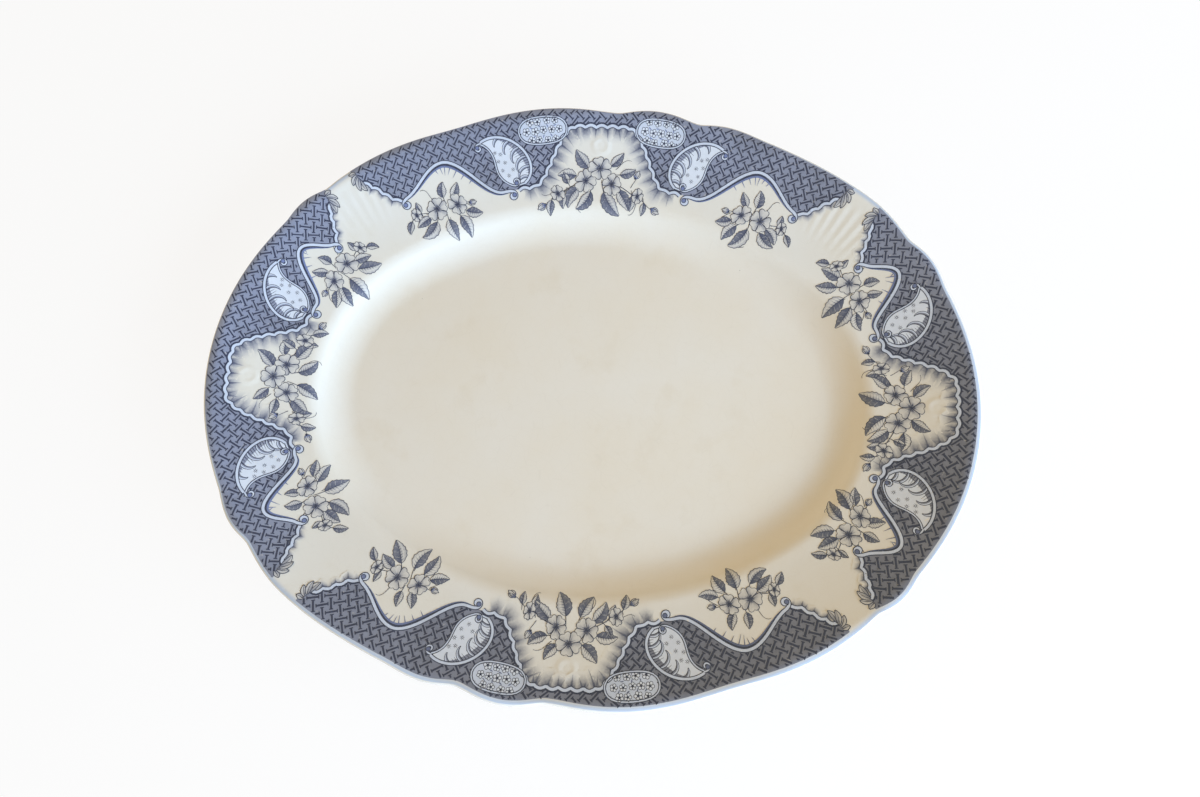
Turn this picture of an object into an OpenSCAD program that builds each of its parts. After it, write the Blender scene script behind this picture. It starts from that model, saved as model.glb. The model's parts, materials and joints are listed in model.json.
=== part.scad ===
// Oval meat platter of pressed, transfer-printed earthenware: a dished body with a scalloped edge,
// a foot ring luted under it, and the printed border lengths and flower sprays fired onto its rim.
// Millimetres, +Z up, origin on the table under the middle of the platter, length along X.

/* [Platter] */
// Length over the rim
platter_length = 420; // [390:5:480]
// Width over the rim
platter_width = 336; // [310:2:366]
// Height of the rim's edge above the table
platter_height = 40; // [37:1:46]
// Thickness of the pressed clay in the floor and wall
clay_thickness = 6; // [4.5:0.5:8]

/* [Rim] */
// Width of the sloping rim, from its edge to the shoulder of the well
rim_width = 52; // [47:1:57]
// How far the rim climbs from the shoulder to the edge
rim_rise = 17; // [14:1:20]
// How far the rim dips below a straight slope at its middle
rim_dish_depth = 1.5; // [0:0.25:2]
// Thickness of the clay at the edge of the rim
edge_thickness = 4.5; // [3.5:0.5:6]
// Depth of the deepest notch between two lobes of the edge
scallop_depth = 3.8; // [1.5:0.1:5]

/* [Well] */
// Radius of the shoulder where the rim turns down into the well
shoulder_radius = 14; // [11:1:18]
// Radius of the cove between the wall and the floor of the well
cove_radius = 26; // [20:1:32]

/* [Foot] */
// Height of the foot ring
foot_height = 5; // [4:0.5:7]
// Width of the foot ring where it joins the floor
foot_width = 8; // [6:0.5:11]
// Width of the wiped flat that stands on the table
foot_flat = 4; // [2:0.5:5]
// Distance from the edge of the floor in to the foot ring
foot_set_in = 2; // [1:0.5:5]

/* [Border print] */
// Thickness of the fired print film
print_thickness = 0.2; // [0.15:0.05:0.4]
// Clearance under the film, so that the curved faces stay apart
print_clearance = 0.15; // [0.1:0.05:0.3]
// Bare lip between the printed border and the edge
print_lip = 2.5; // [1:0.5:4]
// Bare gap between two border lengths, along the edge
print_gap = 18; // [12:1:28]
// Reach of the border in from the edge at the crown of its large bay
border_crown = 12; // [9:1:16]
// Reach of the border at the horns either side of the large bay
border_horn = 43; // [36:1:48]
// Reach of the border in its small bays
border_waist = 18; // [13:1:24]
// Reach of the border at the hips outside its small bays
border_hip = 29; // [22:1:34]
// Reach of the border at its two ends
border_end = 10; // [8:1:14]

/* [Spray print] */
// Distance from the edge in to the middle of a large spray
large_spray_inset = 38; // [34:1:42]
// Distance from the edge in to the middle of a small spray
small_spray_inset = 42; // [38:1:46]
// Radius of a flower
flower_radius = 7; // [5.5:0.5:8]
// Length of a leaf
leaf_length = 14; // [11:1:17]
// Clear white between a spray and the border
spray_clearance = 1.5; // [0.5:0.5:3]

/* [Hidden] */
$fn = 96;

clay_colour = [0.90, 0.88, 0.81];
foot_colour = [0.85, 0.79, 0.68];
border_colour = [0.47, 0.51, 0.60];
spray_colour = [0.30, 0.33, 0.47];

// The plan is a four-centred oval: two end arcs and two side arcs that meet on common normals.
// Its centres stand on a 3:4:5 triangle, which puts every joint of the arcs on an exact point.
half_length = platter_length / 2;
half_width = platter_width / 2;
oval_unit = (half_length - half_width) / 2;
end_centre = 3 * oval_unit;
side_centre = 4 * oval_unit;
end_radius = half_length - end_centre;
side_radius = half_width + side_centre;
// Direction of the normal at which an end arc gives way to a side arc
junction = atan2(4, 3);
// Turn of the whole arc at an end and at a side, and the steps each is drawn in
end_turn = 2 * junction;
side_turn = 180 - 2 * junction;
end_steps = 32;
side_steps = 22;

// Notches of the edge over half a turn: direction of the normal in degrees, share of scallop_depth.
// The other half turn repeats them.
notches = [[26, 0.5], [40, 0.75], [67, 0.25], [77, 0.9], [88, 1], [110, 0.55], [130, 0.65], [142, 0.55]];
// How blunt a notch is, from 0 for a sharp cusp
notch_bluntness = 0.35;
outline_step = 1.5;

// The section runs inwards from the edge: rim, shoulder arc, cove arc, then the flat floor.
rim_points = 10;
arc_points = 8;
floor_top = foot_height + clay_thickness;
shoulder_top = platter_height - rim_rise;
rim_slope = atan((rim_rise - 4 * rim_dish_depth) / rim_width);
well_drop = shoulder_top - floor_top;
wall_slope = acos((shoulder_radius * cos(rim_slope) + cove_radius - well_drop)
                  / (shoulder_radius + cove_radius));
shoulder_width = shoulder_radius * (sin(wall_slope) - sin(rim_slope));
cove_width = cove_radius * sin(wall_slope);
floor_inset = rim_width + shoulder_width + cove_width;
foot_inset = floor_inset + foot_set_in;
foot_taper = (foot_width - foot_flat) / 2;
// How far inside the foot ring the ends of its arcs lap
foot_lap = foot_flat / 8;
// How far the swept part of the body reaches in past the edge of the floor, to lap with its slab
floor_lap = foot_set_in + foot_width;
film_top = print_clearance + print_thickness;
// The film layer ends part of the way down the shoulder, below the lowest leaves
film_end_slope = rim_slope + 0.85 * (wall_slope - rim_slope);

// Places along a border length, as shares of its half length, on the sides and on the ends
crown_share = 0.1;
horn_share = 0.07;
side_horn_share = 0.37;
side_waist_share = 0.67;
end_horn_share = 0.44;
end_waist_share = 0.72;
hip_share = 0.87;
border_steps = 120;
// The least width that the border keeps at its ends
least_border = 2;

// Arc of the oval that holds a direction
function in_end(psi) = abs(cos(psi)) > cos(junction);
function arc_centre(psi) = in_end(psi) ? [sign(cos(psi)) * end_centre, 0]
                                       : [0, -sign(sin(psi)) * side_centre];
function arc_radius(psi) = in_end(psi) ? end_radius : side_radius;
function arc_middle(psi) = in_end(psi) ? (cos(psi) > 0 ? 0 : 180) : (sin(psi) > 0 ? 90 : 270);

// Point of the plan whose normal looks along psi, at a distance in from the oval
function plan_point(psi, inset) = arc_centre(psi) + (arc_radius(psi) - inset) * [cos(psi), sin(psi)];

// How far the scalloped edge stands inside the oval
function lobe(t) = let (b = notch_bluntness)
    (sqrt(pow(sin(180 * t), 2) + b * b) - b) / (sqrt(1 + b * b) - b);
function notch_dip(psi) =
    let (turn = (psi % 180 + 180) % 180,
         last = len(notches) - 1,
         ring = concat([notches[last] - [180, 0]], notches, [notches[0] + [180, 0]]),
         i = max([for (k = [0 : last + 1]) ring[k][0] <= turn ? k : 0]),
         t = (turn - ring[i][0]) / (ring[i + 1][0] - ring[i][0]))
    scallop_depth * (ring[i][1] * (1 - t) + ring[i + 1][1] * t) * (1 - lobe(t));

function edge_outline() =
    [for (psi = [0 : outline_step : 360 - outline_step]) plan_point(psi, notch_dip(psi))];
function oval_outline(inset) =
    [for (psi = [0 : outline_step : 360 - outline_step]) plan_point(psi, inset)];

// Lines of the section as points [-inset, height], sunk below the face along its normal.
// The rim's depth runs from one value at the edge to another at the shoulder.
function rim_height(t) = platter_height - rim_rise * t - 4 * rim_dish_depth * t * (1 - t);
function rim_tilt(t) = atan((rim_rise + 4 * rim_dish_depth * (1 - 2 * t)) / rim_width);
function rim_line(edge_depth, depth) =
    [for (k = [0 : rim_points]) let (t = k / rim_points, a = rim_tilt(t))
        [-t * rim_width, rim_height(t)]
        - (edge_depth + (depth - edge_depth) * t) * [-sin(a), cos(a)]];
function shoulder_line(depth, last_slope) =
    [for (k = [1 : arc_points]) let (a = rim_slope + (last_slope - rim_slope) * k / arc_points)
        [-rim_width + shoulder_radius * sin(rim_slope), shoulder_top - shoulder_radius * cos(rim_slope)]
        + (shoulder_radius - depth) * [-sin(a), cos(a)]];
function cove_line(depth) =
    [for (k = [1 : arc_points]) let (a = wall_slope * (1 - k / arc_points))
        [-floor_inset, floor_top + cove_radius] + (cove_radius + depth) * [sin(a), -cos(a)]];
function reversed(list) = [for (k = [len(list) - 1 : -1 : 0]) list[k]];

// Sweeps a section, drawn as [-inset, height], along the arc of the oval that holds psi and one step past
// both of its ends
module sweep_past(psi) {
    steps = in_end(psi) ? end_steps : side_steps;
    turn = in_end(psi) ? end_turn : side_turn;
    translate(arc_centre(psi))
        rotate_extrude(start = arc_middle(psi) - turn / 2 - turn / steps, angle = turn + 2 * turn / steps,
                       $fn = floor(360 * steps / turn))
            translate([arc_radius(psi), 0]) children();
}

// Sweeps a section along one arc, cut back to the exact normals at its ends
module sweep_arc(psi) {
    centre = arc_centre(psi);
    way = in_end(psi) ? sign(cos(psi)) : sign(sin(psi));
    near = in_end(psi) ? [3, -4] : [3, 4];
    far = in_end(psi) ? [3, 4] : [-3, 4];
    intersection() {
        sweep_past(psi) children();
        linear_extrude(2 * platter_height)
            polygon([centre, centre + way * platter_length * near, centre + way * platter_length * far]);
    }
}

// Sweeps a section round all four arcs
module sweep_round() {
    for (psi = [0 : 90 : 270]) sweep_arc(psi) children();
}

module body_section() {
    lap = -floor_inset - floor_lap;
    polygon(concat(
        rim_line(0, 0), shoulder_line(0, wall_slope), cove_line(0), [[lap, floor_top], [lap, foot_height]],
        reversed(cove_line(clay_thickness)), reversed(shoulder_line(clay_thickness, wall_slope)),
        reversed(rim_line(edge_thickness, clay_thickness))));
}

// The pressed body: rim, wall and floor in one, trimmed to the scalloped edge
module body() {
    color(clay_colour) intersection() {
        union() {
            sweep_round() body_section();
            translate([0, 0, foot_height]) linear_extrude(clay_thickness)
                polygon(oval_outline(floor_inset + floor_lap / 2));
        }
        linear_extrude(2 * platter_height) polygon(edge_outline());
    }
}

// Section of the foot ring, drawn in by a margin
module foot_section(margin) {
    outer = -foot_inset - margin;
    inner = -foot_inset - foot_width + margin;
    polygon([[outer, foot_height - margin], [outer - foot_taper, margin],
             [inner + foot_taper, margin], [inner, foot_height - margin]]);
}

// The foot ring that is luted to the underside of the floor, wiped flat where it stands.
// Its end arcs carry on inside its side arcs, which makes the four one ring.
module foot_ring() {
    color(foot_colour) {
        sweep_round() foot_section(0);
        for (psi = [0, 180]) sweep_past(psi) foot_section(foot_lap);
    }
}

// Lays a plan outline on the face of the rim and the top of the shoulder, as a film along one arc
module on_rim(psi) {
    intersection() {
        sweep_arc(psi) polygon(concat(
            rim_line(-film_top, -film_top), shoulder_line(-film_top, film_end_slope),
            reversed(shoulder_line(-print_clearance, film_end_slope)),
            reversed(rim_line(-print_clearance, -print_clearance))));
        linear_extrude(2 * platter_height) children();
    }
}

// Reach of a border at a share u of its half length, eased from one of its main places to the next
function ease(t) = (1 - cos(180 * t)) / 2;
function border_reach(u, horn, waist) =
    let (v = min(abs(u), 1),
         places = [[0, border_crown], [crown_share, border_crown], [horn - horn_share, border_horn],
                   [horn + horn_share, border_horn], [waist, border_waist], [hip_share, border_hip],
                   [1, border_end]],
         i = max([for (k = [0 : len(places) - 2]) places[k][0] <= v ? k : 0]),
         t = (v - places[i][0]) / (places[i + 1][0] - places[i][0]))
    places[i][1] + (places[i + 1][1] - places[i][1]) * ease(t);

// Plan of the border length whose middle looks along psi, with a margin added to its inner line
module border_plan(psi, margin) {
    arc_half = in_end(psi) ? junction : 90 - junction;
    half_turn = arc_half - print_gap / 2 / arc_radius(psi) * 180 / PI;
    horn = in_end(psi) ? end_horn_share : side_horn_share;
    waist = in_end(psi) ? end_waist_share : side_waist_share;
    steps = [for (k = [-border_steps : border_steps]) k / border_steps];
    polygon(concat(
        [for (u = steps) let (a = psi + half_turn * u) plan_point(a, print_lip + notch_dip(a))],
        [for (u = reversed(steps)) let (a = psi + half_turn * u)
            plan_point(a, max(border_reach(u, horn, waist) + margin,
                              print_lip + notch_dip(a) + least_border))]));
}

// One length of the printed border
module border_print(psi) {
    color(border_colour) on_rim(psi) border_plan(psi, 0);
}

// A five-petalled flower, in plan
module flower(radius) {
    petal_radius = radius * 0.45;
    for (k = [0 : 4]) rotate(72 * k + 90) translate([radius - petal_radius, 0]) circle(petal_radius);
    circle(radius * 0.4);
}

// A pointed leaf that grows along +X from the origin, in plan
module leaf(length) {
    half_leaf = length / 2;
    bow = length * 0.18;
    arc_size = (half_leaf * half_leaf + bow * bow) / (2 * bow);
    for (side = [0, 1]) mirror([0, side]) intersection() {
        translate([half_leaf, bow - arc_size]) circle(arc_size);
        square([length, bow]);
    }
}

// A small spray in plan: two flowers side by side over their leaves
module small_spray() {
    for (side = [-1, 1]) {
        translate([side * flower_radius * 1.05, side * flower_radius * 0.25])
            flower(flower_radius * (1 - side * 0.08));
        translate([side * flower_radius * 1.2, -flower_radius * 0.3])
            rotate(-90 + side * 62) leaf(leaf_length);
    }
    rotate(-90) leaf(leaf_length);
}

// A large spray in plan: a flower over a small spray, with leaves at its sides
module large_spray() {
    translate([0, flower_radius * 1.5]) flower(flower_radius * 1.1);
    translate([0, -flower_radius * 0.3]) small_spray();
    for (side = [-1, 1])
        translate([side * flower_radius * 0.8, flower_radius]) rotate(90 - side * 60) leaf(leaf_length);
}

// Stands a spray on the rim at the direction psi, its head towards the edge, clear of the border
module spray_print(psi, inset) {
    color(spray_colour) on_rim(psi) difference() {
        translate(plan_point(psi, inset)) rotate(psi - 90) children();
        border_plan(arc_middle(psi), spray_clearance);
    }
}

module large_spray_print(psi) {
    spray_print(psi, large_spray_inset) large_spray();
}

// A small spray lies below a small bay of the border, on the side given by way
module small_spray_print(middle, way) {
    arc_half = in_end(middle) ? junction : 90 - junction;
    waist = in_end(middle) ? end_waist_share : side_waist_share;
    spray_print(middle + way * arc_half * waist, small_spray_inset) small_spray();
}

body();
foot_ring();
border_print(90);  // border_print_north
border_print(180);  // border_print_west
border_print(270);  // border_print_south
border_print(0);  // border_print_east
large_spray_print(90);  // spray_print_north
large_spray_print(180);  // spray_print_west
large_spray_print(270);  // spray_print_south
large_spray_print(0);  // spray_print_east
small_spray_print(0, 1);  // spray_print_north_east_end
small_spray_print(90, -1);  // spray_print_north_east_side
small_spray_print(90, 1);  // spray_print_north_west_side
small_spray_print(180, -1);  // spray_print_north_west_end
small_spray_print(180, 1);  // spray_print_south_west_end
small_spray_print(270, -1);  // spray_print_south_west_side
small_spray_print(270, 1);  // spray_print_south_east_side
small_spray_print(0, -1);  // spray_print_south_east_end
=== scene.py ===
"""Dresses the oval meat platter: its glazed body and foot ring, its printed borders and flower sprays."""

import json
import math
import random
from math import cos, pi, sin

import bmesh
import bpy
from bpy.props import FloatProperty, FloatVectorProperty, IntProperty, PointerProperty
from bpy.types import NodeSocket, Operator, Panel, PropertyGroup
from mathutils import Matrix, Vector, noise


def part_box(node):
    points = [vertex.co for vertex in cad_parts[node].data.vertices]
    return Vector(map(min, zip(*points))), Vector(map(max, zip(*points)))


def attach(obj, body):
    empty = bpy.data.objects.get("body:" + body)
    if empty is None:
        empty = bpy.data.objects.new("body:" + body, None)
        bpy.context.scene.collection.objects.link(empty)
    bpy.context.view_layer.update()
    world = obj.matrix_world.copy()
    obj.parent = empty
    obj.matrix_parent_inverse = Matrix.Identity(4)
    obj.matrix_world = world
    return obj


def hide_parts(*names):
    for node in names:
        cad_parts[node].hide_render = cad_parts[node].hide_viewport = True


bl_info = {
    "name": "Oval meat platter",
    "version": (1, 0, 0),
    "blender": (4, 5, 0),
    "location": "3D View > Sidebar > Platter",
    "description": "Builds the glazed and printed meat platter on its packed model",
    "category": "Add Mesh",
}

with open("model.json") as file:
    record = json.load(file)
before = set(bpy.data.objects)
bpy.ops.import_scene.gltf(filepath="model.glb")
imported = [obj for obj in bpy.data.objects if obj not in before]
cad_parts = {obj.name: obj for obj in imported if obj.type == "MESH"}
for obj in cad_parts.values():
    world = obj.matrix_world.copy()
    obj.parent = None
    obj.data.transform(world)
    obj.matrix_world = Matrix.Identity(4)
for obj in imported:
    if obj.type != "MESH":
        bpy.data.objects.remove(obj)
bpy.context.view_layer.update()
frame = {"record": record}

MM = 0.001
# Inks of a print, in the order of its material slots
GROUND, INK, TINT, MIDDLE, SHADE, PALE = range(6)
# Sides of the platter by the direction their normal looks along, in degrees
SIDES = {"north": 90, "west": 180, "south": 270, "east": 0}
# Cosine of the direction in which an end arc of the oval gives way to a side arc
JUNCTION_COSINE = 0.6
# Notches of the edge over half a turn: direction of the normal in degrees, share of the scallop's depth
NOTCHES = ((26, 0.5), (40, 0.75), (67, 0.25), (77, 0.9), (88, 1), (110, 0.55), (130, 0.65), (142, 0.55))
NOTCH_BLUNTNESS = 0.35
# Rounding of the edge, and how wide and how deep the lip rolls over, in millimetres
NOSE = 1.4
ROLL_WIDTH, ROLL_DROP = 7.0, 2.8
# Width of the foot ring where it meets the body and of its wiped flat, in millimetres, and its steps
FOOT_WIDTH, FOOT_FLAT, FOOT_STEPS = 8.0, 4.0, 360
# Lift of a print over the face, height of one of its layers and thickness of a film, in millimetres
PRINT_LIFT, LAYER_HEIGHT, FILM = 0.06, 0.016, 0.02
# Direction in which the transfer lies further in from the edge and took more ink, and towards which the ink
# colours are darkened and warmed as painted shade
HEAVY_AND_SHADED_SIDE = math.radians(-54)
# Horn and waist of a border as shares of its half length, at the ends and on the sides, and its hip
END_HORN, END_WAIST = 0.44, 0.72
SIDE_HORN, SIDE_WAIST = 0.37, 0.67
HIP = 0.87
# Share of a border's half length at which its lines stop
LAST_LINE = 0.985
# Distance of a large and of a small spray from the edge, in millimetres
LARGE_INSET, SMALL_INSET = 38, 42
WINDOW_PLACE = (1.31, -0.85, 0.54)
WHITE = (1, 1, 1, 1)
# Share of plain white in the floor that the camera sees
FLOOR_WHITE = 0.86


def metres(name, description, default):
    """A length to be set by the user"""
    return FloatProperty(name=name, description=description, default=default, unit="LENGTH")


def lean(name, description, default):
    """An angle to be set by the user, its default in degrees"""
    return FloatProperty(name=name, description=description, default=math.radians(default), subtype="ANGLE")


def paint(name, description, default):
    """A colour to be set by the user"""
    return FloatVectorProperty(name=name, description=description, default=default, subtype="COLOR")


class PlatterSizes(PropertyGroup):
    """Sizes of the pressed clay"""

    length: metres("Length", "Length of the oval over the rim", 0.42)
    width: metres("Width", "Width of the oval over the rim", 0.336)
    rim_width: metres("Rim width", "From the edge to the shoulder of the well", 0.052)
    rim_rise: metres("Rim rise", "Climb from the shoulder to the edge", 0.017)
    rim_dish: metres("Rim dish", "Dip of the rim below a straight slope", 0.0015)
    scallop: metres("Scallop", "Depth of the deepest notch of the edge", 0.0038)
    shoulder: metres("Shoulder", "Radius where the rim turns down into the well", 0.014)
    cove: metres("Cove", "Radius between the wall and the floor of the well", 0.026)
    clay: metres("Clay", "Thickness of the clay in the floor and wall", 0.006)
    edge: metres("Edge", "Thickness of the clay at the edge", 0.0045)
    relief: metres("Relief", "Height of the moulded flutes and roundels", 0.0007)
    columns: IntProperty(name="Columns", description="Steps of the body round the oval", default=840)


class PrintLooks(PropertyGroup):
    """Sizes of the print and colours of the glaze and inks"""

    lip: metres("Lip", "Bare lip outside the border", 0.0022)
    gap: metres("Gap", "Bare gap between two border lengths", 0.018)
    weave_pitch: metres("Weave pitch", "Distance between two bars of the basket ground", 0.0043)
    weave_bar: metres("Weave bar", "Length of a bar of the basket ground", 0.0058)
    ribbon: metres("Ribbon", "Width of the pale ribbon round the bays", 0.0019)
    flower: metres("Flower", "Radius of a flower", 0.0066)
    leaf: metres("Leaf", "Length of a leaf", 0.0128)
    glaze_colour: paint("Glaze", "Clay seen through the clear glaze", (0.74, 0.70, 0.615))
    ground_colour: paint("Ground", "Slate blue of the border's ground", (0.20, 0.222, 0.295))
    ink_colour: paint("Ink", "Dark printed line", (0.014, 0.021, 0.050))
    middle_colour: paint("Half tone", "Stippled half tone of leaves and scrolls", (0.12, 0.155, 0.29))
    tint_colour: paint("Tint", "Pale blue of the ribbons", (0.50, 0.55, 0.64))
    pale_colour: paint("Petal", "Palest tint, in petals and panels", (0.60, 0.64, 0.70))


class StageLooks(PropertyGroup):
    """Camera and lights"""

    lens: FloatProperty(name="Lens", description="Focal length in millimetres", default=30.0)
    camera_place: FloatVectorProperty(
        name="Camera", description="Where the camera hangs", default=(0.0438, -0.1283, 0.5576),
        subtype="XYZ")
    lean_east: lean("Lean east", "Lean of the view from straight down", 3.84)
    lean_south: lean("Lean south", "Lean of the view from straight down", 13.3)
    roll: lean("Roll", "Turn of the picture about the view", 3.6)
    key_power: FloatProperty(
        name="Window", description="Power of the large soft light", default=91.0, unit="POWER")
    key_colour: paint("Window colour", "Cool daylight", (0.61, 0.77, 1.0))
    room_warm: paint("Room, far side", "Light of the room away from the window", (0.98, 0.775, 0.48))
    room_cool: paint("Room, near side", "Light of the room at the window", (0.02, 0.02, 0.02))


def smooth(low, high, value):
    """Eases from 0 at low to 1 at high"""
    t = min(max((value - low) / (high - low), 0.0), 1.0)
    return t * t * (3 - 2 * t)


def hump(distance, width):
    """A smooth hump, 1 at its middle"""
    return math.exp(-((distance / width) ** 2))


def toward(turn):
    """Unit vector along a direction of the plan"""
    return Vector((cos(turn), sin(turn)))


def heavy(psi):
    """Weight of the print in a direction, from 0 to 1"""
    return 0.5 + 0.5 * cos(psi - HEAVY_AND_SHADED_SIDE)


def at_end(psi):
    """Whether a direction belongs to an end arc of the oval and not to a side arc"""
    return abs(cos(psi)) > JUNCTION_COSINE


class Face:
    """Upper face of the platter in millimetres: oval plan, section from the edge inwards, and relief"""

    def __init__(self, sizes):
        half_length, half_width = sizes.length / MM / 2, sizes.width / MM / 2
        unit = (half_length - half_width) / 2
        self.end_centre, self.side_centre = 3 * unit, 4 * unit
        self.end_radius = half_length - self.end_centre
        self.side_radius = half_width + self.side_centre
        self.junction = math.atan2(4, 3)
        self.scallop, self.dish = sizes.scallop / MM, sizes.rim_dish / MM
        self.rim_width, self.rim_rise = sizes.rim_width / MM, sizes.rim_rise / MM
        self.shoulder, self.cove = sizes.shoulder / MM, sizes.cove / MM
        self.clay, self.edge = sizes.clay / MM, sizes.edge / MM
        self.relief_height = sizes.relief / MM
        self.underside, self.top = (corner.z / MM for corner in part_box("body"))
        mounts = {mount["name"]: mount for mount in frame["record"]["mounts"]}
        self.floor_top = mounts["well_floor"]["pos_m"][2] / MM
        self.rim_slope = math.atan((self.rim_rise - 4 * self.dish) / self.rim_width)
        self.shoulder_top = self.top - self.rim_rise
        turned = self.shoulder * cos(self.rim_slope) + self.cove - (self.shoulder_top - self.floor_top)
        self.wall_slope = math.acos(turned / (self.shoulder + self.cove))
        self.shoulder_end = self.rim_width + self.shoulder * (sin(self.wall_slope) - sin(self.rim_slope))
        self.floor_inset = self.shoulder_end + self.cove * sin(self.wall_slope)
        self.dips = [self.notch_dip(k / 10) for k in range(1801)]

    def radius(self, psi):
        """Radius of the arc of the oval that holds a direction"""
        return self.end_radius if at_end(psi) else self.side_radius

    def plan(self, psi, inset):
        """Point of the plan whose normal looks along psi, a distance in from the oval"""
        c, s = cos(psi), sin(psi)
        reach = self.radius(psi) - inset
        if at_end(psi):
            return Vector((math.copysign(self.end_centre, c) + reach * c, reach * s))
        return Vector((reach * c, reach * s - math.copysign(self.side_centre, s)))

    def locate(self, x, y):
        """Direction and inset of a point of the plan"""
        across, up = abs(x), abs(y)
        psi = math.atan2(up, across - self.end_centre)
        if cos(psi) > JUNCTION_COSINE:
            inset = self.end_radius - math.hypot(across - self.end_centre, up)
        else:
            psi = math.atan2(up + self.side_centre, across)
            inset = self.side_radius - math.hypot(across, up + self.side_centre)
        psi = psi if x >= 0 else pi - psi
        return (psi if y >= 0 else -psi), inset

    def dip(self, psi):
        """How far the scalloped edge stands inside the oval"""
        place = math.degrees(psi) % 180 * 10
        k = min(int(place), 1799)
        return self.dips[k] + (self.dips[k + 1] - self.dips[k]) * (place - k)

    def notch_dip(self, turn):
        """Dip of the edge at a direction in degrees, from the notches either side of it"""
        turn %= 180
        (first, first_depth), (last, last_depth) = NOTCHES[0], NOTCHES[-1]
        ring = [(last - 180, last_depth), *NOTCHES, (first + 180, first_depth)]
        near = max(k for k in range(len(ring) - 1) if ring[k][0] <= turn)
        (a, deep_a), (b, deep_b) = ring[near:near + 2]
        t = (turn - a) / (b - a)
        blunt = NOTCH_BLUNTNESS
        lobe = (math.sqrt(sin(pi * t) ** 2 + blunt * blunt) - blunt) / (math.sqrt(1 + blunt * blunt) - blunt)
        return self.scallop * (deep_a * (1 - t) + deep_b * t) * (1 - lobe)

    def section(self, inset):
        """Height and slope of the plain face at an inset"""
        if inset <= self.rim_width:
            t = inset / self.rim_width
            fall = (self.rim_rise + 4 * self.dish * (1 - 2 * t)) / self.rim_width
            over = max(0.0, 1 - inset / ROLL_WIDTH)
            height = self.top - self.rim_rise * t - 4 * self.dish * t * (1 - t) - ROLL_DROP * over ** 2
            return height, math.atan(fall - 2 * ROLL_DROP / ROLL_WIDTH * over)
        if inset <= self.shoulder_end:
            slope = math.asin(sin(self.rim_slope) + (inset - self.rim_width) / self.shoulder)
            return self.shoulder_top - self.shoulder * (cos(self.rim_slope) - cos(slope)), slope
        if inset < self.floor_inset:
            slope = math.asin((self.floor_inset - inset) / self.cove)
            return self.floor_top + self.cove * (1 - cos(slope)), slope
        return self.floor_top, 0.0

    def relief(self, psi, inset, point):
        """Height of the moulded work and of the clay's own unevenness over the plain face"""
        waver = noise.noise(Vector((point.x / 55, point.y / 55, 0.3))) * 0.12
        if inset > self.rim_width:
            return waver
        # Faint line near the edge
        rise = 0.06 * hump(inset - self.dip(psi) - 5.2, 1.6) * (0.6 + 0.4 * sin(9 * psi))
        # Roundel in the large bay of each side
        near = round(psi / (pi / 2)) * (pi / 2)
        far = math.hypot((psi - near) * (self.radius(near) - 20), inset - 22)
        rise += 0.5 * self.relief_height * (hump(far - 4.1, 1.4) + 0.6 * hump(far, 2))
        # Fluted fan across the bare gap at each corner
        corner = math.copysign(self.junction, sin(psi))
        corner = corner if cos(psi) > 0 else math.copysign(pi, corner) - corner
        along = (psi - corner) * (self.radius(psi) - 25)
        if abs(along) < 30:
            start = 7 + max(0.0, abs(along) - 8) * 1.1
            spread = along / (1 + 0.008 * (25 - inset))
            fan = (0.5 + 0.5 * cos(2 * pi * spread / 5.2)) * (1 - smooth(14, 28, abs(along)))
            fan *= smooth(start, start + 7, inset) * (1 - smooth(20, 40, inset))
            rise += 0.3 * self.relief_height * fan
        return rise + waver

    def lay(self, x, y, lift):
        """Point of the finished face over a point of the plan, lifted by a film's height"""
        psi, inset = self.locate(x, y)
        return Vector((x, y, self.section(inset)[0] + self.relief(psi, inset, Vector((x, y))) + lift)) * MM


def add_object(name, data):
    """Puts a new object into the scene"""
    made = bpy.data.objects.new(name, data)
    bpy.context.scene.collection.objects.link(made)
    return made


def new_piece(name, mesh, materials, slot, *nodes):
    """Turns a finished bmesh into a piece that rides on the platter and stands for its nodes"""
    if not mesh.faces:
        raise RuntimeError(name + " has no faces")
    data = bpy.data.meshes.new(name)
    mesh.to_mesh(data)
    mesh.free()
    for material in materials:
        data.materials.append(material)
    piece = add_object(name, data)
    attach(piece, "root")
    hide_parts(*nodes)


def grid_place(v, columns, rows):
    """Column and row of a vertex of a fresh grid, from its place in the square that the grid is made in"""
    return round((v.co.x + 1) / 2 * columns), round((v.co.y + 1) / 2 * rows)


def slip_sheet(steps, rows):
    """A grid to be wrapped round the oval, with the step and the row of each vertex"""
    mesh = bmesh.new()
    mesh.verts.layers.float.new("bleed_and_lip_reflection")
    made = bmesh.ops.create_grid(mesh, x_segments=steps, y_segments=rows - 1, size=1)
    return mesh, [(v, *grid_place(v, steps, rows - 1)) for v in made["verts"]]


def close_shell(mesh):
    """Merges the seam and the poles of a wrapped sheet, and turns its faces outwards"""
    bmesh.ops.remove_doubles(mesh, verts=mesh.verts[:], dist=1e-7)
    bmesh.ops.recalc_face_normals(mesh, faces=mesh.faces[:])
    for f in mesh.faces:
        f.smooth = True


def column_directions(face, count):
    """Directions of the body's columns, closer together where the relief is"""
    fine = 7200
    reached, sums = 0.0, [0.0]
    for k in range(fine):
        psi = (k + 0.5) / fine * 2 * pi
        off_corner = abs(abs(cos(psi)) - JUNCTION_COSINE) / 0.8
        off_middle = min(abs(cos(psi)), abs(sin(psi)))
        weight = 1 + 2.0 * (1 - smooth(0.08, 0.22, off_corner)) + 1.0 * (1 - smooth(0.06, 0.16, off_middle))
        reached += weight * face.radius(psi)
        sums.append(reached)
    directions, k = [], 0
    for column in range(count):
        wanted = reached * column / count
        while sums[k + 1] < wanted:
            k += 1
        part = (wanted - sums[k]) / (sums[k + 1] - sums[k])
        directions.append((k + part) / fine * 2 * pi)
    return directions


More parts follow.
